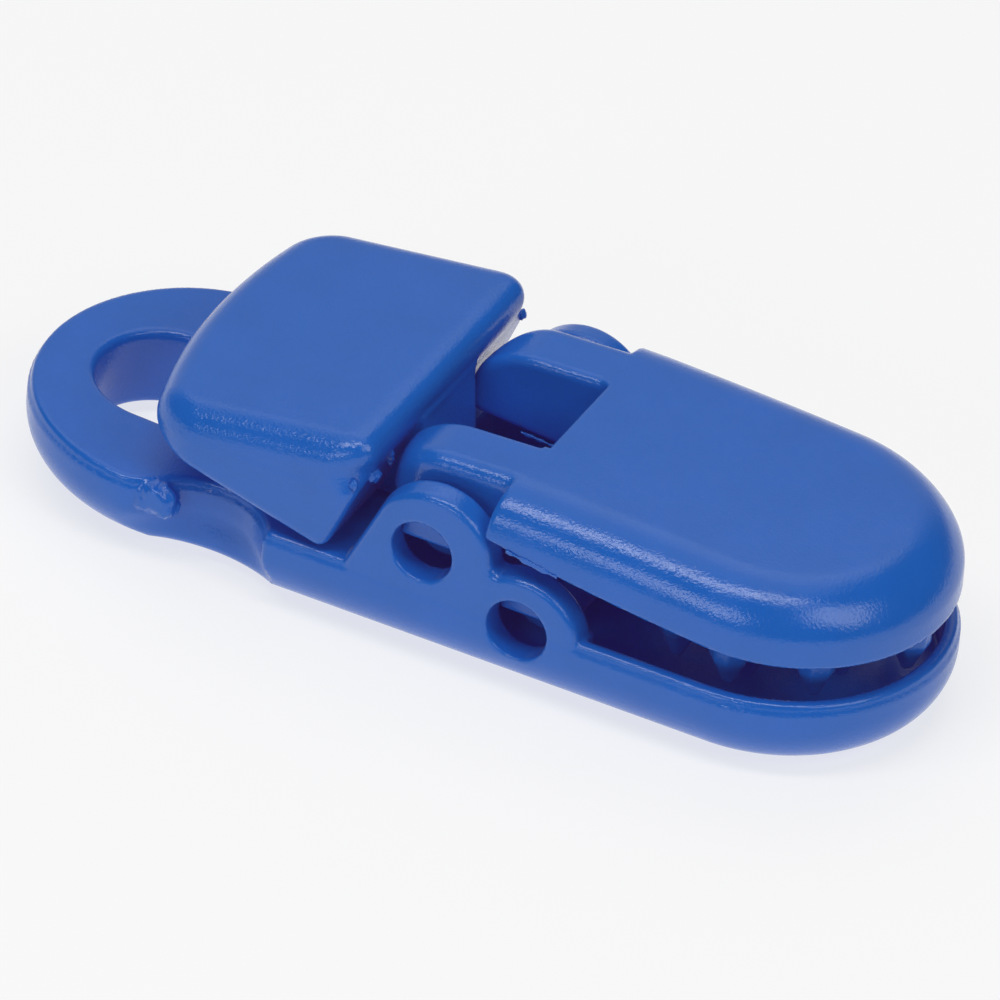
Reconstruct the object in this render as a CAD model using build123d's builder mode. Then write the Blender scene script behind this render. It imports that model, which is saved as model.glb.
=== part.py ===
"""Cam-lever fabric clip moulded in plastic: a base with a cord ring, a toothed jaw and a lever.

Millimetres, +Z up, +X towards the front of the jaws. The origin is on the underside of the
base, half way along it, and everything is drawn in the closed position.
"""
from math import acos, atan2, cos, degrees, hypot, radians, sin, sqrt
from build123d import *
import os

# Base
length = 45.0
width = 16.0
half_width = width / 2
base_height = 3.9
end_radius = half_width
end_centre_x = length / 2 - end_radius
bottom_round = 2.0
top_round = 0.3

# Waist: two finger scallops between the ring and the ears
waist_x = -10.35
waist_radius = 3.2
waist_half_width = 6.0

# Ring hole for a cord or a ribbon
ring_hole_rear_x = -19.6
ring_hole_front_x = -11.2
ring_hole_half_width = 3.2
ring_hole_round = 0.45

# Ears and their two pairs of pivot holes
ear_outer_y = half_width
ear_inner_y = 6.5
ear_thickness = ear_outer_y - ear_inner_y
ear_foot_x = -3.6
jaw_axis = (0.3, 5.85)
lever_axis = (5.25, 3.5)
rear_lobe = (0.72, 6.0)
front_lobe = (5.4, 3.45)
lobe_radius = 3.1
lobe_valley_round = 0.6
ear_root_z = bottom_round + 0.4
pivot_hole_radius = 1.5
pin_radius = 1.45
pin_end_y = 7.1

# Hollow in the base, under the mechanism and behind the rim
floor_height = 1.5
rim_thickness = 0.75
pit_rear_x = -2.4
pit_front_x = 8.7

# Jaw
jaw_front_x = 22.3
jaw_arc_x = jaw_front_x - half_width
shoulder_x = 3.45
slot_front_x = 3.85
slot_half_width = 2.86
arm_outer_y = 6.05
arm_bottom_z = 5.92
nose_radius = 3.8
crest = (4.6, 10.0)
jaw_front_top_z = 9.0
jaw_front_low_z = 5.8
skirt_low_x = 6.8
skirt_low_z = 6.65
skirt_step_x = 6.0
skirt_step_z = 7.7
jaw_edge_round = 1.9
skin = 1.7
skirt_thickness = 1.1
lug_inner_y = 3.1
lug_outer_y = 5.7
lug_rear_x = 1.4
lug_front_x = 2.9
lug_bottom_z = 3.0

# Teeth of the jaw
tooth_width = 1.7
tooth_root_z = 8.4
tooth_shaft_z = 5.2
outer_tooth_z = 3.1
inner_tooth_z = 2.5
outer_teeth = [(20.8, 0.0), (18.2, 4.1), (18.2, -4.1), (14.6, 5.4), (14.6, -5.4)]
inner_teeth = [(18.2, 1.3), (18.2, -1.3), (14.8, 3.8), (14.8, -3.8), (11.4, 4.0), (11.4, -4.0)]

# Lever
pad_tip_x = -14.8
pad_corner_x = -13.3
pad_corner_round = 2.0
pad_half_width = half_width
pad_front_radius = 9.55
pad_apex_z = 4.1
pad_front_top_z = 9.4
pad_top_front = (-3.6, 10.72)
pad_top_rear = (-13.0, 9.36)
pad_tip_low = (pad_tip_x, 7.0)
pad_tip_top = (pad_tip_x, 8.5)
pad_edge_round = 1.1
neck_half_width = 2.6
neck_front_x = -2.45
neck_rear_x = -5.0
neck_top_z = 8.4
web_bottom_z = 4.2
web_top_z = 5.3
hub_radius = 1.6
hub_end_y = 6.3
cam_inner_y = 3.1
cam_outer_y = 5.7
cam_angle = 175.0
cam_reach = 1.45
cam_round = 0.8


def on_circle(centre, radius, angle):
    """Point on a circle in the XZ plane, at an angle in degrees from +X towards +Z."""
    return (centre[0] + radius * cos(radians(angle)), centre[1] + radius * sin(radians(angle)))


def tangent_point(foot, centre, radius):
    """Where the line that rises from the foot touches the rear of a circle."""
    dx, dz = centre[0] - foot[0], centre[1] - foot[1]
    distance = hypot(dx, dz)
    turn = acos(radius / distance)
    back = atan2(-dz, -dx) - turn
    return (centre[0] + radius * cos(back), centre[1] + radius * sin(back))


def pad_front_x(z):
    """Front face of the lever pad, an arc about the lever's own axis."""
    return lever_axis[0] - sqrt(pad_front_radius**2 - (z - lever_axis[1]) ** 2)


os.makedirs("parts", exist_ok=True)

# ---------------------------------------------------------------------------------------
# Base: ring, waist, ears and the shallow hollow that faces the teeth
# ---------------------------------------------------------------------------------------
waist_offset = waist_half_width + waist_radius
ring_hole_length = ring_hole_front_x - ring_hole_rear_x
ring_hole_x = (ring_hole_front_x + ring_hole_rear_x) / 2
ear_foot = (ear_foot_x, base_height)
ear_tangent = tangent_point(ear_foot, rear_lobe, lobe_radius)
front_lobe_end = (front_lobe[0] + lobe_radius, base_height - 1.0)
lobe_gap = hypot(front_lobe[0] - rear_lobe[0], front_lobe[1] - rear_lobe[1])
lobe_slope = atan2(front_lobe[1] - rear_lobe[1], front_lobe[0] - rear_lobe[0])
valley_turn = acos(lobe_gap / (2 * lobe_radius))
valley = (rear_lobe[0] + lobe_radius * cos(lobe_slope + valley_turn),
          rear_lobe[1] + lobe_radius * sin(lobe_slope + valley_turn))

with BuildPart() as base:
    with BuildSketch(Plane.XY) as outline:
        SlotCenterToCenter(2 * end_centre_x, width)
        with Locations((waist_x, waist_offset), (waist_x, -waist_offset)):
            Circle(waist_radius, mode=Mode.SUBTRACT)
    extrude(amount=base_height)
    fillet(base.edges().group_by(Axis.Z)[0], bottom_round)
    fillet(base.edges().group_by(Axis.Z)[-1], top_round)

    with BuildSketch(Plane.XY) as ring_hole:
        with Locations((ring_hole_x, 0)):
            SlotOverall(ring_hole_length, 2 * ring_hole_half_width)
    extrude(amount=base_height, mode=Mode.SUBTRACT)
    hole_edges = base.edges().filter_by_position(Axis.X, ring_hole_rear_x, ring_hole_front_x)
    hole_edges = hole_edges.filter_by_position(Axis.Y, -ring_hole_half_width, ring_hole_half_width)
    fillet(hole_edges.group_by(Axis.Z)[-1] + hole_edges.group_by(Axis.Z)[0], ring_hole_round)

    with BuildSketch(Plane.XZ.offset(ear_inner_y)) as ear_side:
        with Locations(rear_lobe, front_lobe):
            Circle(lobe_radius)
        with BuildLine():
            Polyline(ear_foot, ear_tangent, rear_lobe, front_lobe, front_lobe_end,
                     (ear_foot_x, front_lobe_end[1]), ear_foot, close=False)
        make_face()
        fillet(ear_side.vertices().sort_by_distance(valley)[0], lobe_valley_round)
        with Locations((lever_axis[0], ear_root_z - width / 2)):
            Rectangle(length, width, mode=Mode.SUBTRACT)
    extrude(amount=ear_thickness)
    mirror(about=Plane.XZ)

    with BuildSketch(Plane.XY.offset(floor_height)) as pit:
        with Locations(((pit_rear_x + pit_front_x) / 2, 0)):
            Rectangle(pit_front_x - pit_rear_x, 2 * ear_inner_y)
    extrude(amount=base_height, mode=Mode.SUBTRACT)
    with BuildSketch(Plane.XY.offset(floor_height)) as scoop:
        with Locations((end_centre_x, 0)):
            Circle(end_radius - rim_thickness)
        with Locations(((pit_front_x + end_centre_x) / 2, 0)):
            Rectangle(end_centre_x - pit_front_x, 2 * (end_radius - rim_thickness))
    extrude(amount=base_height, mode=Mode.SUBTRACT)

    with BuildSketch(Plane.XZ.offset(-width)) as pivot_holes:
        with Locations(jaw_axis, lever_axis):
            Circle(pivot_hole_radius)
    extrude(amount=2 * width, mode=Mode.SUBTRACT)
base.part.label = "base"
export_step(base.part, "parts/base.step")

# ---------------------------------------------------------------------------------------
# Jaw: a domed plate with a skirt, two arms that end in round noses, pins, lugs and teeth
# ---------------------------------------------------------------------------------------
nose_top = on_circle(jaw_axis, nose_radius, 90)
nose_rear = (jaw_axis[0] - nose_radius, arm_bottom_z)
nose_middle = on_circle(jaw_axis, nose_radius, 135)
crown_middle = ((crest[0] + jaw_front_x) / 2, (crest[1] + jaw_front_top_z) / 2 + 0.2)
arm_front_x = skirt_low_x
arm_width = arm_outer_y - slot_half_width
lug_width = lug_outer_y - lug_inner_y

with BuildPart() as jaw:
    with BuildSketch(Plane.XY) as jaw_outline:
        with Locations((jaw_arc_x, 0)):
            Circle(half_width)
        with Locations(((shoulder_x + jaw_arc_x) / 2, 0)):
            Rectangle(jaw_arc_x - shoulder_x, width)
        with Locations(((shoulder_x + slot_front_x) / 2, 0)):
            Rectangle(slot_front_x - shoulder_x, 2 * slot_half_width, mode=Mode.SUBTRACT)
    extrude(amount=2 * base_height + jaw_front_low_z)
    with BuildSketch(Plane.XZ.offset(-half_width)) as jaw_side:
        with BuildLine():
            Line((shoulder_x - 1, crest[1] - 0.1), crest)
            ThreePointArc(crest, crown_middle, (jaw_front_x, jaw_front_top_z))
            Polyline((jaw_front_x, jaw_front_top_z), (jaw_front_x, jaw_front_low_z),
                     (skirt_low_x, skirt_low_z), (skirt_step_x, skirt_step_z),
                     (shoulder_x - 1, skirt_step_z), (shoulder_x - 1, crest[1] - 0.1))
        make_face()
    extrude(amount=width, mode=Mode.INTERSECT)
    rim = jaw.faces().sort_by(Axis.Z)[-2:].edges()
    rim = rim.filter_by(lambda edge: edge.center().X > slot_front_x + 1 and abs(edge.center().Y) > 1
                        or edge.center().X > jaw_arc_x)
    fillet(rim, jaw_edge_round)

    with BuildSketch(Plane.XZ.offset(-half_width)) as skin_side:
        with BuildLine():
            Line((slot_front_x + skin, crest[1] - skin), (crest[0] + skin, crest[1] - skin))
            ThreePointArc((crest[0] + skin, crest[1] - skin),
                          (crown_middle[0], crown_middle[1] - skin),
                          (jaw_front_x, jaw_front_top_z - skin))
            Polyline((jaw_front_x, jaw_front_top_z - skin), (jaw_front_x, 0),
                     (slot_front_x + skin, 0), (slot_front_x + skin, crest[1] - skin))
        make_face()
    hollow = extrude(amount=width, mode=Mode.PRIVATE)
    with BuildSketch(Plane.XY) as hollow_outline:
        with Locations((jaw_arc_x, 0)):
            Circle(half_width - skirt_thickness)
        with Locations(((arm_front_x + jaw_arc_x) / 2, 0)):
            Rectangle(jaw_arc_x - arm_front_x, 2 * (half_width - skirt_thickness))
        with Locations(((slot_front_x + arm_front_x) / 2, 0)):
            Rectangle(arm_front_x - slot_front_x, 2 * slot_half_width)
    well = extrude(amount=width, mode=Mode.PRIVATE)
    add(hollow & well, mode=Mode.SUBTRACT)

    with BuildSketch(Plane.XZ.offset(slot_half_width)) as arm_side:
        with BuildLine():
            ThreePointArc(nose_rear, nose_middle, nose_top)
            Polyline(nose_top, (slot_front_x, crest[1] - 0.05), (arm_front_x, crest[1] - skin),
                     (arm_front_x, arm_bottom_z), nose_rear)
        make_face()
    extrude(amount=arm_width)
    with BuildSketch(Plane.XZ.offset(lug_inner_y)) as lug_side:
        with Locations(((lug_rear_x + lug_front_x) / 2, (arm_bottom_z + lug_bottom_z) / 2)):
            Rectangle(lug_front_x - lug_rear_x, arm_bottom_z - lug_bottom_z)
    extrude(amount=lug_width)
    with BuildSketch(Plane.XZ.offset(arm_outer_y - 0.5)) as jaw_pin_side:
        with Locations(jaw_axis):
            Circle(pin_radius)
    extrude(amount=pin_end_y - arm_outer_y + 0.5)
    mirror(about=Plane.XZ)

    with BuildSketch(Plane.XY.offset(tooth_shaft_z)) as tooth_shafts:
        with Locations(*outer_teeth, *inner_teeth):
            Rectangle(tooth_width, tooth_width)
    extrude(amount=tooth_root_z - tooth_shaft_z)
    for places, tip_z in ((outer_teeth, outer_tooth_z), (inner_teeth, inner_tooth_z)):
        with BuildSketch(Plane.XY.offset(tooth_shaft_z)) as tooth_points:
            with Locations(*places):
                Rectangle(tooth_width, tooth_width)
        reach = tooth_shaft_z - tip_z
        extrude(amount=-reach, taper=degrees(atan2(tooth_width / 2 - 0.1, reach)))
jaw.part.label = "jaw"
export_step(jaw.part, "parts/jaw.step")

# ---------------------------------------------------------------------------------------
# Cam lever: a wedge-shaped pad, a neck that passes between the arms, and a hub with cams
# ---------------------------------------------------------------------------------------
apex = (pad_front_x(pad_apex_z), pad_apex_z)
front_top = (pad_front_x(pad_front_top_z), pad_front_top_z)
front_middle_z = (pad_apex_z + pad_front_top_z) / 2
front_middle = (pad_front_x(front_middle_z), front_middle_z)
cam_centre = on_circle(lever_axis, cam_reach, cam_angle)
cam_width = cam_outer_y - cam_inner_y

with BuildPart() as cam_lever:
    with BuildSketch(Plane.XY) as pad_outline:
        with BuildLine():
            Line((neck_front_x, -pad_half_width), (pad_corner_x, -pad_half_width))
            ThreePointArc((pad_corner_x, -pad_half_width), (pad_tip_x, 0),
                          (pad_corner_x, pad_half_width))
            Polyline((pad_corner_x, pad_half_width), (neck_front_x, pad_half_width),
                     (neck_front_x, -pad_half_width))
        make_face()
        fillet(pad_outline.vertices().group_by(Axis.X)[0], pad_corner_round)
    extrude(amount=2 * neck_top_z)
    with BuildSketch(Plane.XZ.offset(-half_width)) as pad_side:
        with BuildLine():
            ThreePointArc(apex, front_middle, front_top)
            Polyline(front_top, pad_top_front, pad_top_rear, pad_tip_top, pad_tip_low, apex)
        make_face()
        fillet(pad_side.vertices().sort_by_distance(pad_top_front)[0], pad_edge_round)
        fillet(pad_side.vertices().sort_by_distance(pad_top_rear)[0], pad_edge_round)
    extrude(amount=width, mode=Mode.INTERSECT)
    pad_sides = cam_lever.faces().filter_by(Axis.Y).edges()
    fillet(pad_sides.filter_by(lambda edge: edge.center().Z > pad_front_top_z), pad_edge_round / 2)

    with BuildSketch(Plane.XZ.offset(-neck_half_width)) as neck_side:
        with Locations(((neck_front_x + neck_rear_x) / 2, (neck_top_z + web_top_z) / 2)):
            Rectangle(neck_front_x - neck_rear_x, neck_top_z - web_top_z)
        with BuildLine():
            Polyline((neck_rear_x, web_bottom_z), (neck_rear_x, web_top_z),
                     (neck_front_x, web_top_z), (lever_axis[0], lever_axis[1] + hub_radius),
                     (lever_axis[0], lever_axis[1] - hub_radius / 2),
                     (lever_axis[0] - 2 * hub_radius, web_bottom_z), (neck_rear_x, web_bottom_z))
        make_face()
    extrude(amount=2 * neck_half_width)
    with BuildSketch(Plane.XZ.offset(-hub_end_y)) as hub_side:
        with Locations(lever_axis):
            Circle(hub_radius)
    extrude(amount=2 * hub_end_y)
    with BuildSketch(Plane.XZ.offset(-pin_end_y)) as lever_pin_side:
        with Locations(lever_axis):
            Circle(pin_radius)
    extrude(amount=2 * pin_end_y)
    for start in (cam_inner_y, -cam_outer_y):
        with BuildSketch(Plane.XZ.offset(start)) as cam_side:
            with Locations(cam_centre):
                Circle(cam_round)
            with Locations(lever_axis):
                Circle(hub_radius / 2)
            make_hull()
        extrude(amount=cam_width)
cam_lever.part.label = "cam_lever"
export_step(cam_lever.part, "parts/cam_lever.step")
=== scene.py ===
"""Cam-lever fabric clip: the looks.

Three mouldings in one blue plastic, each modelled as a solid field: a function of a point, in
millimetres, that is negative inside the plastic. Fields are cut, joined and rounded like clay, and
the surface where a field is zero becomes the mesh. Everything is in the CAD frame: the origin is on
the underside of the base, +X is towards the front of the jaws and +Z is up.
"""

from math import atan2, cos, hypot, pi, radians, sin, tan

import bpy
import numpy as np
import openvdb
from mathutils import Matrix, Vector


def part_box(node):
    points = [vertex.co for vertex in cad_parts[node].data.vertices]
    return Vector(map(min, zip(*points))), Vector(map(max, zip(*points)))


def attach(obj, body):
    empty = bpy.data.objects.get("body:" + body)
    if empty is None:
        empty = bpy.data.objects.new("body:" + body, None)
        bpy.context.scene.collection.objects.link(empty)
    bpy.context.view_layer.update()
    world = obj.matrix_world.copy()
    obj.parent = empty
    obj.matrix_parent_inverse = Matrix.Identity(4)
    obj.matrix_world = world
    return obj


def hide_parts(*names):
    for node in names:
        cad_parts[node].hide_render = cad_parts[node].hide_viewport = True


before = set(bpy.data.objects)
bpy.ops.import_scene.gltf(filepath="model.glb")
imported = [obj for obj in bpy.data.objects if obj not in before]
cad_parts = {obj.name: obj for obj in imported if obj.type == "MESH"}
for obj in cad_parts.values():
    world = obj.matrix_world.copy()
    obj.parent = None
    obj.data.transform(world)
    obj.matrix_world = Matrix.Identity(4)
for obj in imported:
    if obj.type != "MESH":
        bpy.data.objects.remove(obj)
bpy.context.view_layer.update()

MM = 0.001
# Spacing of the grid on which a surface is found, in millimetres. Flash is thin and needs a finer one.
CELL = 0.15
FINE_CELL = 0.045


# ---------------------------------------------------------------------------------------
# Distances in a plane, in millimetres
# ---------------------------------------------------------------------------------------
def disc(u, v, centre, radius):
    """Distance to a circle in the plane (u, v)."""
    return np.hypot(u - centre[0], v - centre[1]) - radius


def block(u, v, low, high):
    """Distance to a rectangle from its low corner to its high corner."""
    du = np.abs(u - (low[0] + high[0]) / 2) - (high[0] - low[0]) / 2
    dv = np.abs(v - (low[1] + high[1]) / 2) - (high[1] - low[1]) / 2
    return np.hypot(np.maximum(du, 0), np.maximum(dv, 0)) + np.minimum(np.maximum(du, dv), 0)


def stadium(u, v, low, high, half):
    """Distance to a bar along u with round ends, from low to high and of that half width."""
    beyond = np.maximum(np.maximum(low + half - u, u - high + half), 0)
    return np.hypot(beyond, v) - half


def polygon(u, v, corners):
    """Distance to a closed outline of straight sides."""
    nearest = np.inf
    inside = False
    for (au, av), (bu, bv) in zip(corners, corners[-1:] + corners[:-1]):
        eu, ev = bu - au, bv - av
        du, dv = u - au, v - av
        along = np.clip((du * eu + dv * ev) / (eu * eu + ev * ev), 0, 1)
        nearest = np.minimum(nearest, (du - eu * along) ** 2 + (dv - ev * along) ** 2)
        above, below, left = v >= av, v < bv, eu * dv > ev * du
        inside = inside ^ ((above & below & left) | ~(above | below | left))
    return np.where(inside, -1, 1) * np.sqrt(nearest)


# ---------------------------------------------------------------------------------------
# Working with fields
# ---------------------------------------------------------------------------------------
def meet(a, b, r):
    """What is inside both, with the edge between them rounded to radius r."""
    return np.minimum(np.maximum(a, b), -r) + np.hypot(np.maximum(a + r, 0), np.maximum(b + r, 0))


def join(a, b, r):
    """What is inside either, with a fillet of radius r between them."""
    return np.maximum(np.minimum(a, b), r) - np.hypot(np.maximum(r - a, 0), np.maximum(r - b, 0))


def cut(a, b, r):
    """What is inside a and outside b, with the rim of the cut rounded to radius r."""
    return meet(a, -b, r)


def slab(w, low, high):
    """Distance to the space between two parallel planes."""
    return np.abs(w - (low + high) / 2) - (high - low) / 2


def ease(value, start, end):
    """Smooth step from 0 at the start to 1 at the end."""
    t = np.clip((value - start) / (end - start), 0, 1)
    return t * t * (3 - 2 * t)


def ragged(x, y, z, size):
    """Even, repeatable roughness between -1 and 1, with lumps of about that size."""
    k = 2.2 / size
    first = np.sin(k * x + 1.7 * np.sin(k * 0.6 * y + 0.4)) * np.sin(k * y + 1.3 * np.sin(k * 0.7 * z))
    second = np.sin(k * 1.9 * z + 1.5 * np.sin(k * 1.1 * x + 2.0)) * np.sin(k * 2.1 * x + 0.9 * y)
    return 0.6 * first + 0.4 * second


def gradient(field, points, step=0.01):
    """Slope of a field at each point, by central differences."""
    slope = np.empty_like(points)
    for axis in range(3):
        ahead, behind = points.copy(), points.copy()
        ahead[:, axis] += step
        behind[:, axis] -= step
        slope[:, axis] = (field(*ahead.T) - field(*behind.T)) / (2 * step)
    return slope


def surface(name, field, low, high, cell=CELL):
    """Mesh object of the surface where the field is zero, inside the box from low to high.

    The field is worked out on a grid, a few layers at a time, and the points of the surface found
    on the grid then slide along the field's slope until they lie on its zero."""
    axes = [np.arange(low[i] - 3 * cell, high[i] + 4 * cell, cell) for i in range(3)]
    values = np.empty([len(a) for a in axes], np.float32)
    layers = 40
    for i in range(0, len(axes[0]), layers):
        x = axes[0][i:i + layers, None, None]
        values[i:i + layers] = field(x, axes[1][None, :, None], axes[2][None, None, :])
    grid = openvdb.FloatGrid(3 * cell)
    grid.copyFromArray(np.clip(values, -3 * cell, 3 * cell))
    points, quads = grid.convertToQuads()
    points = points.astype(float) * cell + [a[0] for a in axes]
    for _ in range(4):
        slope = gradient(field, points)
        length = np.maximum((slope**2).sum(1), 0.05)
        step = slope * (field(*points.T) / length)[:, None]
        points -= np.clip(step, -cell / 2, cell / 2)
    mesh = bpy.data.meshes.new(name)
    mesh.from_pydata((points * MM).tolist(), [], quads.tolist())
    mesh.validate()
    mesh.shade_smooth()
    piece = bpy.data.objects.new(name, mesh)
    bpy.context.scene.collection.objects.link(piece)
    return piece


# ---------------------------------------------------------------------------------------
# Sizes in millimetres, in the CAD frame
# ---------------------------------------------------------------------------------------
HALF_WIDTH = 8.0
EDGE = 0.14                     # rounding of a crisp moulded edge
JAW_AXIS = (0.3, 5.85)          # x and z of the hinge of the jaw
LEVER_AXIS = (5.25, 3.5)        # x and z of the hinge of the lever

BASE_HEIGHT = 3.9
END_X = 14.5                    # centre of the round front end
REAR_END_X = 14.3               # centre of the round rear end, behind the origin
BOTTOM_ROUND = 2.75
RING_LIFT = 0.4                 # how much higher the ring end sits
RING_RISE = (8.0, 20.0)         # where it starts and stops rising, behind the origin
RING_HOLE = (-19.55, -11.2, 3.2)    # rear end, front end and half width
RING_ROUND = 0.36
PARTING_Z = 3.4                 # where the halves of the mould met; the sides lean in above it
PARTING_STEP = 0.06
CHAMFER = 0.27
WAIST_TOP = (-10.35, 9.2, 3.2)  # x, side and radius of the finger scallop, at its top
WAIST_LOW = (-10.45, 13.3, 5.9)     # and at its foot
REAR_LOBE = (0.72, 6.0)         # x and z of the centres of an ear's two lobes
FRONT_LOBE = (5.35, 3.25)
LOBE = 3.1
LOBE_VALLEY = 0.5
EAR = (6.5, 8.0)                # from the inner to the outer face of an ear
EAR_FOOT = (-3.6, 3.9)
EAR_ROOT_Z = 2.4
EAR_DRAFT = 0.13
EAR_ROUND = 0.34
HOLE = 1.5
HOLE_SIDE = 6.0                 # the holes run outwards from here, through the ears only
PIN = 1.48
PIN_STEP = 1.4                  # how far the lower half of a pin is cut back
FLOOR = 1.5
RIM = 0.75
PIT = (-3.3, 8.7)               # from the rear to the front of the hollow between the ears

JAW_FRONT = 22.4
SHOULDER = 3.45                 # rear edge of the plate, beside the arms
SLOT = (3.8, 2.86)              # front end and half width
ARM = (2.86, 6.05)              # from the inner to the outer face of an arm
ARM_REAR = -3.15
ARM_LOW = (5.9, 0.07)           # height and slope of the lower edge of an arm
NOSE = (0.3, 6.03, 3.75)        # x and z of the centre of an arm's round end, and its radius
CREST = (4.6, 10.0)             # x and z of the highest point of the dome
JAW_TOP_FRONT = 9.0
DOME_ROUND = 2.1
DOME_SLANT = 0.83               # under 1, the rounding of the dome is wider than it is deep
SKIRT = 1.1
SKIN = 1.7
JAW_PIN_END = 7.0
# x and side of the points of the teeth: the longer ones inside, the shorter ones near the skirt
OUTER_TIPS = ((20.8, 0.0), (18.2, 4.1), (14.6, 5.4))
INNER_TIPS = ((18.2, 1.3), (14.8, 3.8), (11.4, 4.0))
OUTER_TIP_Z = 3.0
INNER_TIP_Z = 2.4
TOOTH_ROOT_Z = 8.4
TOOTH_HALF = 0.95               # half width of the square root, and of the blunt point
TOOTH_POINT = 0.26
TOOTH_TAPER = radians(25)

PAD_TIP = -14.8
PAD_SWEEP = 22.1                # radius of the pad's rear edge, seen from above
PAD_ROUND = 1.35
PAD_FRONT_ROUND = 2.0
PAD_TOP = (-3.5, 10.4)          # x and z of a point on the pad's upper face, near its front
PAD_SLOPE = 0.145
PAD_SKEW = 0.052                # rise across the clip, and turn seen from above
PAD_YAW = 0.03
PAD_SEAM_Z = 7.9                # parting line along the pad's sides
# The pad's curved front, as x and z from its foot up
PAD_FRONT = ((-4.35, 4.35), (-3.95, 5.3), (-3.45, 6.6), (-3.05, 7.7), (-2.7, 8.7), (-1.95, 10.2))
PAD_TIP_LOW = 7.15              # height of the lower edge of the tip
NECK = (2.6, 8.8)               # half width and height of the neck
HUB = (1.6, 6.3)                # radius and half length of the hub
LEVER_PIN_END = 6.6
CAM_ANGLE = radians(175)
CAM_REACH = 1.45
CAM = 0.8
CAM_CORNER = (5.25, 4.3)        # x and z of the top front corner of the block behind a cam
CAM_SIDE = (3.1, 5.7)           # from the inner to the outer face of a cam and of the lug that it works on


# ---------------------------------------------------------------------------------------
# Base
# ---------------------------------------------------------------------------------------
def ear_outline(x, z):
    """Two lobes about the two axes, on a foot that slopes up from the base."""
    lobes = join(disc(x, z, REAR_LOBE, LOBE), disc(x, z, FRONT_LOBE, LOBE), LOBE_VALLEY)
    reach = hypot(REAR_LOBE[0] - EAR_FOOT[0], REAR_LOBE[1] - EAR_FOOT[1])
    turn = atan2(EAR_FOOT[1] - REAR_LOBE[1], EAR_FOOT[0] - REAR_LOBE[0]) - np.arccos(LOBE / reach)
    touch = (REAR_LOBE[0] + LOBE * cos(turn), REAR_LOBE[1] + LOBE * sin(turn))
    front = FRONT_LOBE[0] + LOBE
    foot = polygon(x, z, [EAR_FOOT, touch, REAR_LOBE, FRONT_LOBE, (front, 3.0),
                          (front, EAR_ROOT_Z), (EAR_FOOT[0], EAR_ROOT_Z)])
    return np.maximum(np.minimum(lobes, foot), EAR_ROOT_Z - z)


def gate_scar(x, y, z):
    """Torn stub where the base was broken off its runner."""
    lump = np.sqrt(((x + 13.0) / 1.05)**2 + ((y + 7.3) / 0.7)**2 + ((z - 3.05) / 0.85)**2) - 1
    lump = lump * 0.7 + 0.16 * ragged(x + 0.1, y, z, 0.5)
    return np.maximum(lump, -7.9 - y)


def waist(x, side, z):
    """Finger scallop, deep at the top and shallow at the bottom."""
    deep = ease(z, 0.0, 2.3)
    at_x, at_side, radius = (low + (top - low) * deep for low, top in zip(WAIST_LOW, WAIST_TOP))
    return np.hypot(x - at_x, side - at_side) - radius


def base_hollow(x, y, z):
    """Hollow under the jaw: a pit between the ears, and a scoop inside the round front end."""
    pit = block(x, np.abs(y), (PIT[0], -1), (PIT[1], EAR[0]))
    front = np.hypot(np.maximum(x - END_X, 0), y) - (HALF_WIDTH - RIM)
    scoop = np.maximum(front, PIT[1] - 0.25 - x)
    return np.maximum(np.minimum(pit, scoop), FLOOR - z)


def base_field(x, y, z):
    """Bar with round ends, the ring, the two scallops, the hollow and the two ears."""
    side = np.abs(y)
    z = z - RING_LIFT * ease(-x, *RING_RISE)
    parting = PARTING_STEP * ease(z, PARTING_Z, PARTING_Z + 0.1)
    beyond = np.maximum(np.maximum(x - END_X, -REAR_END_X - x), 0)
    outline = np.hypot(beyond, y) - HALF_WIDTH
    # The scallop's corner is soft towards the ring and crisp towards the ears.
    outline = cut(outline, waist(x, side, z), 0.15 + 1.2 * ease(-x, 10.5, 12.0))
    upper = outline + CHAMFER * np.maximum(z - PARTING_Z, 0) + parting
    body = meet(meet(upper, -z, BOTTOM_ROUND), z - BASE_HEIGHT, EDGE)
    body = np.minimum(body, gate_scar(x, y, z))
    body = cut(body, base_hollow(x, y, z), EDGE)
    ears = meet(ear_outline(x, z) + EAR_DRAFT * (side - EAR[0]), slab(side, *EAR) + parting, EAR_ROUND)
    body = np.minimum(body, ears)
    holes = np.minimum(disc(x, z, JAW_AXIS, HOLE), disc(x, z, LEVER_AXIS, HOLE))
    body = cut(body, np.maximum(holes, HOLE_SIDE - side), 0.1)
    return cut(body, stadium(x, y, *RING_HOLE), RING_ROUND)


# ---------------------------------------------------------------------------------------
# Jaw
# ---------------------------------------------------------------------------------------
def jaw_top(x, side):
    """Height of the dome, which falls faster and faster towards the front and a little to the sides."""
    along = np.clip((x - CREST[0]) / (JAW_FRONT - CREST[0]), 0, 1.2)
    fall = 0.35 * along + 0.65 * along**2
    return CREST[1] - (CREST[1] - JAW_TOP_FRONT) * fall - 0.12 * (side / HALF_WIDTH)**2


def jaw_low(x):
    """Lower edge of the skirt, which rises towards the hinge."""
    back = np.clip(JAW_FRONT - x, 0, 20)
    return 5.85 + 0.0185 * back + 0.0042 * back**2


def arm_low(x):
    """Lower edge of an arm, which falls a little towards the front."""
    return ARM_LOW[0] - ARM_LOW[1] * (x + 2)


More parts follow.
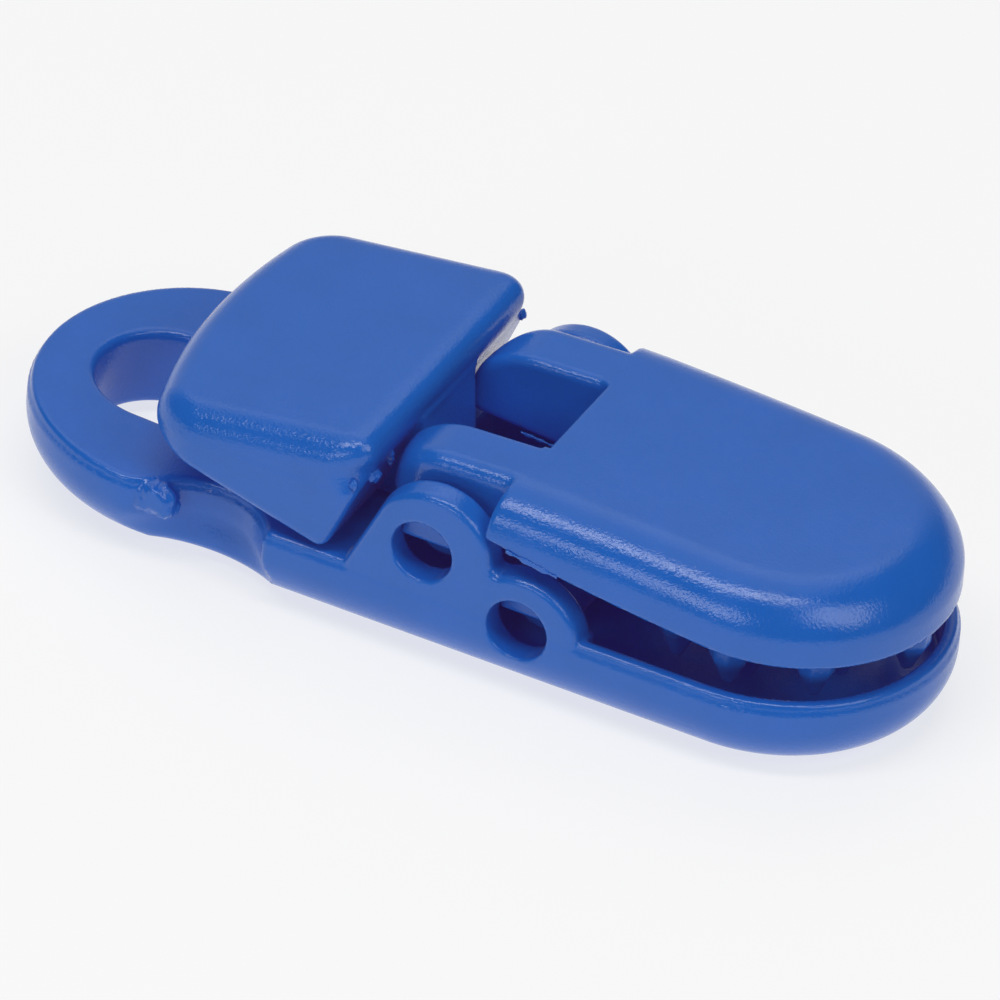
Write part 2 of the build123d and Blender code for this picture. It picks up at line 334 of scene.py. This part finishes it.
def teeth(x, side, z):
    """Square teeth with taken-off corners, which taper to blunt points."""
    nearest = 9.0
    for tips, tip_z in ((OUTER_TIPS, OUTER_TIP_Z), (INNER_TIPS, INNER_TIP_Z)):
        for tip_x, tip_y in tips:
            half = np.minimum((z - tip_z) * tan(TOOTH_TAPER) + TOOTH_POINT, TOOTH_HALF)
            square = np.maximum(np.abs(x - tip_x), np.abs(side - tip_y))
            diamond = (np.abs(x - tip_x) + np.abs(side - tip_y)) * 0.75
            tooth = (np.maximum(square, diamond) - half) * 0.93
            tooth = np.maximum(np.maximum(tooth, tip_z - z), z - TOOTH_ROOT_Z)
            nearest = np.minimum(nearest, tooth)
    return nearest


def step_back(z, step_z):
    """How far the end of a pin is cut back, at that height."""
    return PIN_STEP * ease(step_z - z, -0.1, 0.25)


def pin(x, side, z, axis, end, step_z):
    """Stub of a pin, cut back below the step so that the ear can be pushed over it."""
    stub = meet(disc(x, z, axis, PIN), side - end, 0.08)
    return np.maximum(stub, side - end + step_back(z, step_z))


def jaw_outline(x, y, half):
    """The jaw from above, with straight sides at that half width and a round front."""
    return np.hypot(np.maximum(x - (JAW_FRONT - HALF_WIDTH), 0), y) - half


def jaw_dome(x, y, z):
    """Top and sides of the plate, which lean in a little above the foot of the skirt."""
    draft = 0.2 * ease(z, 6.7, 8.6)
    top = z - jaw_top(x, np.abs(y))
    return meet((jaw_outline(x, y, HALF_WIDTH) + draft) * DOME_SLANT, top, DOME_ROUND)


def jaw_plate(x, y, z):
    """The dome cut off at the shoulders and hollowed from below, with the slot in its rear edge."""
    side = np.abs(y)
    plate = meet(jaw_dome(x, y, z), SHOULDER - x - 0.15 * np.maximum(side - 6.2, 0), 0.22)
    plate = meet(plate, jaw_low(x) - z, 0.12)
    inner = jaw_outline(x, y, HALF_WIDTH - SKIRT)
    well = meet(np.maximum(inner, SLOT[0] + SKIN - x), z - (jaw_top(x, 0) - SKIN), 0.5)
    plate = cut(plate, well, 0.15)
    return cut(plate, block(x, side, (-9, -9), SLOT), EDGE)


def jaw_arm(x, side, z):
    """Arm with a round nose, and the beam by which it grows out of the plate."""
    beam = [(0.1, NOSE[1] + NOSE[2]), (3.8, 9.97), (6.8, 8.3), (6.8, 5.3), (0.1, 5.3)]
    arm = np.minimum(disc(x, z, NOSE, NOSE[2]), polygon(x, z, beam))
    arm = meet(arm, arm_low(x) - z, 0.1)
    outside = meet(ARM_REAR - x, side - ARM[1], 2.8)
    return meet(meet(arm, outside, 0.8), ARM[0] - side, 0.45)


def jaw_field(x, y, z):
    """Plate, two arms, two lugs that the cams work on, two pins and the teeth."""
    side = np.abs(y)
    lug = np.maximum(block(x, z, (1.4, 3.0), (2.9, 6.5)), slab(side, *CAM_SIDE))
    stub = np.maximum(pin(x, side, z, JAW_AXIS, JAW_PIN_END, JAW_AXIS[1] - 0.1), 5.0 - side)
    body = np.minimum(np.minimum(jaw_plate(x, y, z), jaw_arm(x, side, z)), lug)
    body = np.minimum(body, stub)
    return np.minimum(body, np.maximum(teeth(x, side, z), jaw_dome(x, y, z) + 0.3))


# ---------------------------------------------------------------------------------------
# Cam lever
# ---------------------------------------------------------------------------------------
def pad_field(x, y, z):
    """The wedge-shaped pad, which sits a little skew on its hub."""
    side = np.abs(y)
    z = z - PAD_SKEW * y
    rear = np.hypot(x - (PAD_TIP + PAD_SWEEP), y) - PAD_SWEEP
    flank = side - HALF_WIDTH + 0.03 * ease(z, PAD_SEAM_Z, PAD_SEAM_Z + 0.05)
    flank = flank + 0.02 * np.maximum(z - PAD_SEAM_Z, 0)
    plan = meet(rear, flank, 2.0)
    front = x - PAD_YAW * y - np.interp(z, [p[1] for p in PAD_FRONT], [p[0] for p in PAD_FRONT])
    front = front * 0.93
    crown = 0.12 * (side / HALF_WIDTH)**4
    top = (z - PAD_TOP[1] - PAD_SLOPE * (x - PAD_TOP[0]) + crown) * cos(PAD_SLOPE)
    slope = (PAD_TIP_LOW - PAD_FRONT[0][1]) / (PAD_FRONT[0][0] - PAD_TIP)
    low = (PAD_TIP_LOW - slope * (x - PAD_TIP) - z) / hypot(1, slope)
    front_round = 0.5 + (PAD_FRONT_ROUND - 0.5) * ease(z, 7.4, 9.0)
    pad = meet(meet(plan, top, PAD_ROUND), front, front_round)
    return meet(pad, low, 0.5)


def cam_outline(x, z):
    """Nose of a cam, and the block that carries it on the hub."""
    tip_x = LEVER_AXIS[0] + CAM_REACH * cos(CAM_ANGLE)
    tip_z = LEVER_AXIS[1] + CAM_REACH * sin(CAM_ANGLE)
    carrier = block(x, z, (tip_x, tip_z - CAM), CAM_CORNER)
    return np.minimum(disc(x, z, (tip_x, tip_z), CAM), carrier)


def lever_field(x, y, z):
    """Pad, neck, the web that leads from the neck to the hub, the hub, two cams and two pins."""
    side = np.abs(y)
    neck = polygon(x, z, [(-6.0, 4.2), (-6.0, NECK[1]), (-2.58, NECK[1]), (-2.25, 5.5), (-2.25, 4.2)])
    neck = meet(neck, side - NECK[0], 0.15)
    web = polygon(x, z, [(-5.0, 4.2), (-5.0, 5.3), (-2.45, 5.3), (5.25, 5.1), (5.25, 2.7), (2.05, 4.2)])
    web = meet(web, side - NECK[0], 0.2)
    step_z = LEVER_AXIS[1] - 0.1
    hub = np.maximum(disc(x, z, LEVER_AXIS, HUB[0]), side - HUB[1] + step_back(z, step_z))
    cams = np.maximum(cam_outline(x, z), slab(side, *CAM_SIDE))
    body = join(pad_field(x, y, z), neck, 0.3)
    body = np.minimum(body, np.minimum(web, hub))
    body = np.minimum(body, cams)
    return np.minimum(body, pin(x, side, z, LEVER_AXIS, LEVER_PIN_END, step_z))


# ---------------------------------------------------------------------------------------
# Flash: thin torn skins of plastic that were squeezed out between the halves of the moulds
# ---------------------------------------------------------------------------------------
def on_pad_front(y, z):
    """How far forward the front of the pad is, at that y and z."""
    x = np.arange(-6.0, -1.0, 0.01)
    return x[pad_field(x, y, z) < 0].max()


def lever_flash(x, y, z):
    """Four nubs along the parting line on the front of the pad."""
    nubs = [((-7.55, 7.85), (0.2, 0.2, 0.26)), ((-6.45, 7.9), (0.34, 0.36, 0.32)),
            ((-5.05, 8.1), (0.2, 0.13, 0.36)), ((7.6, 8.3), (0.24, 0.26, 0.26))]
    nearest = 9.0
    for (at_y, at_z), size in nubs:
        centre = (on_pad_front(at_y, at_z) + 0.06, at_y, at_z)
        scaled = np.sqrt(sum(((v - c) / s)**2 for v, c, s in zip((x, y, z), centre, size)))
        nearest = np.minimum(nearest, (scaled - 1) * min(size))
    return nearest + 0.05 * ragged(x, y, z, 0.2)


def skirt_flash(x, y, z):
    """Torn fin under the near edge of the jaw, at the foot of its skirt."""
    reach = 0.06 + 0.07 * ease(x, 4.8, 5.6) * ease(-x, -6.9, -6.0) + 0.02 * np.sin(7.3 * x)
    fin = np.maximum(slab(y, -7.97, -7.88), np.abs(z - jaw_low(x)) - reach)
    return np.maximum(fin, slab(x, 4.4, 7.0)) + 0.015 * ragged(x, y, z, 0.3)


def arm_flash(x, y, z):
    """Torn fin along the lower inner edge of the far arm."""
    reach = 0.055 + 0.02 * np.sin(4.0 * x) + 0.015 * np.sin(9.7 * x)
    fin = np.maximum(slab(y, 2.78, 2.9), np.abs(z - arm_low(x)) - reach)
    return np.maximum(fin, slab(x, -0.2, 3.75)) + 0.012 * ragged(x, y, z, 0.2)


# ---------------------------------------------------------------------------------------
# Plastic
# ---------------------------------------------------------------------------------------
DEEP_BLUE = (0.004, 0.126, 0.53, 1)
BRIGHT_BLUE = (0.005, 0.134, 0.57, 1)
# Painted glow: a faint purple emission over the whole plastic that lifts the shade in its darkest corners,
# in place of light scattered inside the plastic
PAINTED_SHADE_GLOW = (0.5, 0.25, 1, 1)
PAINTED_SHADE_GLOW_STRENGTH = 0.018
BUMP_DEPTH = 0.02 * MM


def add_node(tree, kind, **values):
    """New shader node, with its settings and the values of its named sockets."""
    node = tree.nodes.new(kind)
    for name, value in values.items():
        if hasattr(node, name):
            setattr(node, name, value)
        else:
            node.inputs[name].default_value = value
    return node


def noise(tree, coordinates, scale, detail=2.0):
    """Noise texture over the object's own coordinates, with that many lumps to the metre."""
    node = add_node(tree, "ShaderNodeTexNoise", Scale=scale, Detail=detail)
    tree.links.new(coordinates, node.inputs["Vector"])
    return node.outputs["Fac"]


def spread(tree, source, low, high):
    """Stretch the middle of a noise to run from low to high."""
    node = add_node(tree, "ShaderNodeMapRange")
    for socket, value in zip(("From Min", "From Max", "To Min", "To Max"), (0.3, 0.7, low, high)):
        node.inputs[socket].default_value = value
    tree.links.new(source, node.inputs["Value"])
    return node.outputs["Result"]


def bump(tree, height, strength):
    """Bump in the surface that follows that height."""
    node = add_node(tree, "ShaderNodeBump", Strength=strength, Distance=BUMP_DEPTH)
    tree.links.new(height, node.inputs["Height"])
    return node


def blue_plastic(name, grain, gloss):
    """Satin blue moulding: spark-eroded grain, slow flow marks and a little uneven gloss."""
    material = bpy.data.materials.new(name)
    material.use_nodes = True
    tree = material.node_tree
    shader = tree.nodes["Principled BSDF"]
    spot = add_node(tree, "ShaderNodeTexCoord").outputs["Object"]
    tint = add_node(tree, "ShaderNodeMix", data_type="RGBA")
    tint.inputs["A"].default_value = DEEP_BLUE
    tint.inputs["B"].default_value = BRIGHT_BLUE
    tree.links.new(spread(tree, noise(tree, spot, 350, 3), 0, 1), tint.inputs["Factor"])
    tree.links.new(tint.outputs["Result"], shader.inputs["Base Color"])
    # Painted glow: faint purple emission that lifts the shade in dark corners and crevices
    shader.inputs["Emission Color"].default_value = PAINTED_SHADE_GLOW
    shader.inputs["Emission Strength"].default_value = PAINTED_SHADE_GLOW_STRENGTH
    roughness = spread(tree, noise(tree, spot, 900, 4), gloss - 0.04, gloss + 0.05)
    tree.links.new(roughness, shader.inputs["Roughness"])
    fine = bump(tree, noise(tree, spot, 8000, 2), grain)
    slow = bump(tree, noise(tree, spot, 420, 1), 0.05)
    tree.links.new(fine.outputs["Normal"], slow.inputs["Normal"])
    tree.links.new(slow.outputs["Normal"], shader.inputs["Normal"])
    return material


# ---------------------------------------------------------------------------------------
# The three mouldings and their flash
# ---------------------------------------------------------------------------------------
def box_mm(node):
    """Corners of the box around a CAD node, in millimetres."""
    low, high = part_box(node)
    return [v / MM for v in low], [v / MM for v in high]


plastics = {"base": blue_plastic("base_blue", 0.8, 0.17), "jaw": blue_plastic("jaw_blue", 0.8, 0.15),
            "cam_lever": blue_plastic("lever_blue", 1.0, 0.16)}
bodies = {"base_body": (base_field, "base"), "jaw_body": (jaw_field, "jaw"),
          "lever_body": (lever_field, "cam_lever")}
scraps = {"lever_flash": (lever_flash, "cam_lever", (-4.0, -8.0, 7.4), (-2.2, 8.0, 8.9)),
          "skirt_flash": (skirt_flash, "jaw", (4.2, -8.1, 6.4), (7.2, -7.7, 7.6)),
          "arm_flash": (arm_flash, "jaw", (-1.4, 2.6, 5.2), (3.9, 3.0, 6.2))}

for name, (field, node) in bodies.items():
    piece = surface(name, field, *box_mm(node))
    piece.data.materials.append(plastics[node])
    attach(piece, node)
    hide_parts(node)
for name, (field, node, low, high) in scraps.items():
    piece = surface(name, field, low, high, FINE_CELL)
    piece.data.materials.append(plastics[node])
    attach(piece, node)


# ---------------------------------------------------------------------------------------
# Stage, light and camera
# ---------------------------------------------------------------------------------------
def softbox(name, aim, width, height, radiance, distance=0.5):
    """Rectangular light that faces the clip, with its width level.

    Its direction is in steps to the right of the camera, towards the camera and up."""
    place = (right * aim[0] + front * aim[1] + Vector((0, 0, aim[2]))).normalized()
    across = (right - place * right.dot(place)).normalized()
    light = bpy.data.lights.new(name, "AREA")
    light.shape = "RECTANGLE"
    light.size = width
    light.size_y = height
    light.energy = radiance * pi * width * height
    holder = bpy.data.objects.new(name, light)
    holder.matrix_world = Matrix((across, place.cross(across), place)).transposed().to_4x4()
    holder.location = place * distance
    bpy.context.scene.collection.objects.link(holder)


def paper_floor():
    """Pale, slightly glowing sheet just under the clip."""
    bpy.ops.mesh.primitive_plane_add(size=3, location=(0, 0, -0.0002))
    floor = bpy.context.object
    floor.name = "floor"
    paper = bpy.data.materials.new("paper")
    paper.use_nodes = True
    shader = paper.node_tree.nodes["Principled BSDF"]
    shader.inputs["Base Color"].default_value = (0.3, 0.3, 0.3, 1)
    shader.inputs["Roughness"].default_value = 0.9
    shader.inputs["Specular IOR Level"].default_value = 0.1
    shader.inputs["Emission Color"].default_value = (1, 1, 1, 1)
    shader.inputs["Emission Strength"].default_value = 0.7
    floor.data.materials.append(paper)


def studio_world():
    """Dim room with a bright backdrop behind and to the left of the clip."""
    world = bpy.data.worlds.new("studio")
    bpy.context.scene.world = world
    world.use_nodes = True
    tree = world.node_tree
    direction = add_node(tree, "ShaderNodeTexCoord").outputs["Generated"]
    parts = add_node(tree, "ShaderNodeSeparateXYZ")
    tree.links.new(direction, parts.inputs["Vector"])
    glow = None
    for axis, dark, bright in (("Y", 0.15, 0.5), ("Z", 0.985, 0.92), ("X", 0.2, -0.1)):
        fall = add_node(tree, "ShaderNodeMapRange", interpolation_type="SMOOTHSTEP")
        fall.inputs["From Min"].default_value = dark
        fall.inputs["From Max"].default_value = bright
        tree.links.new(parts.outputs[axis], fall.inputs["Value"])
        if glow is None:
            glow = fall.outputs["Result"]
        else:
            both = add_node(tree, "ShaderNodeMath", operation="MULTIPLY")
            tree.links.new(glow, both.inputs[0])
            tree.links.new(fall.outputs["Result"], both.inputs[1])
            glow = both.outputs["Value"]
    level = add_node(tree, "ShaderNodeMapRange")
    level.inputs["To Min"].default_value = 0.05
    level.inputs["To Max"].default_value = 0.5
    tree.links.new(glow, level.inputs["Value"])
    tree.links.new(level.outputs["Result"], tree.nodes["Background"].inputs["Strength"])
    tree.nodes["Background"].inputs["Color"].default_value = (1, 1, 1, 1)


# Where the camera stands: turned to the right of the clip's near side, above it, and tilted a little
AZIMUTH, ELEVATION, ROLL = radians(24.006), radians(35.309), radians(5.449)
# Width of the picture, and its middle: so far along the clip, then to the right and up in the picture
VIEW_WIDTH = 44.42
AIM_X, AIM_RIGHT, AIM_UP = 0.28, 0.376, 3.219
back = Vector((sin(AZIMUTH) * cos(ELEVATION), -cos(AZIMUTH) * cos(ELEVATION), sin(ELEVATION)))
right = Vector((cos(AZIMUTH), sin(AZIMUTH), 0))
front = Vector((sin(AZIMUTH), -cos(AZIMUTH), 0))
up = back.cross(right)
rolled_right = cos(ROLL) * right + sin(ROLL) * up
rolled_up = -sin(ROLL) * right + cos(ROLL) * up


def studio_camera():
    """Camera without perspective, like one that is far away, aimed at the middle of the picture."""
    aim = rolled_right * (AIM_RIGHT + AIM_X * rolled_right.x) + rolled_up * (AIM_UP + AIM_X * rolled_up.x)
    lens = bpy.data.cameras.new("camera")
    lens.type = "ORTHO"
    lens.ortho_scale = VIEW_WIDTH * MM
    lens.clip_start = 0.01
    lens.clip_end = 10
    camera = bpy.data.objects.new("camera", lens)
    bpy.context.scene.collection.objects.link(camera)
    camera.matrix_world = Matrix((rolled_right, rolled_up, back)).transposed().to_4x4()
    camera.location = aim * MM + back * 0.3
    bpy.context.scene.camera = camera


bpy.context.scene.view_settings.view_transform = "Standard"
studio_camera()
paper_floor()
studio_world()
softbox("top_strip", (-0.18, 0.26, 0.94), 0.46, 0.10, 6.5)
softbox("high_box", (-0.1, -0.35, 0.93), 0.50, 0.45, 0.7)
softbox("low_strip", (-0.5, 0.76, 0.43), 0.26, 0.11, 3.6)
softbox("right_box", (0.56, 0.47, 0.66), 0.28, 0.24, 2.6)
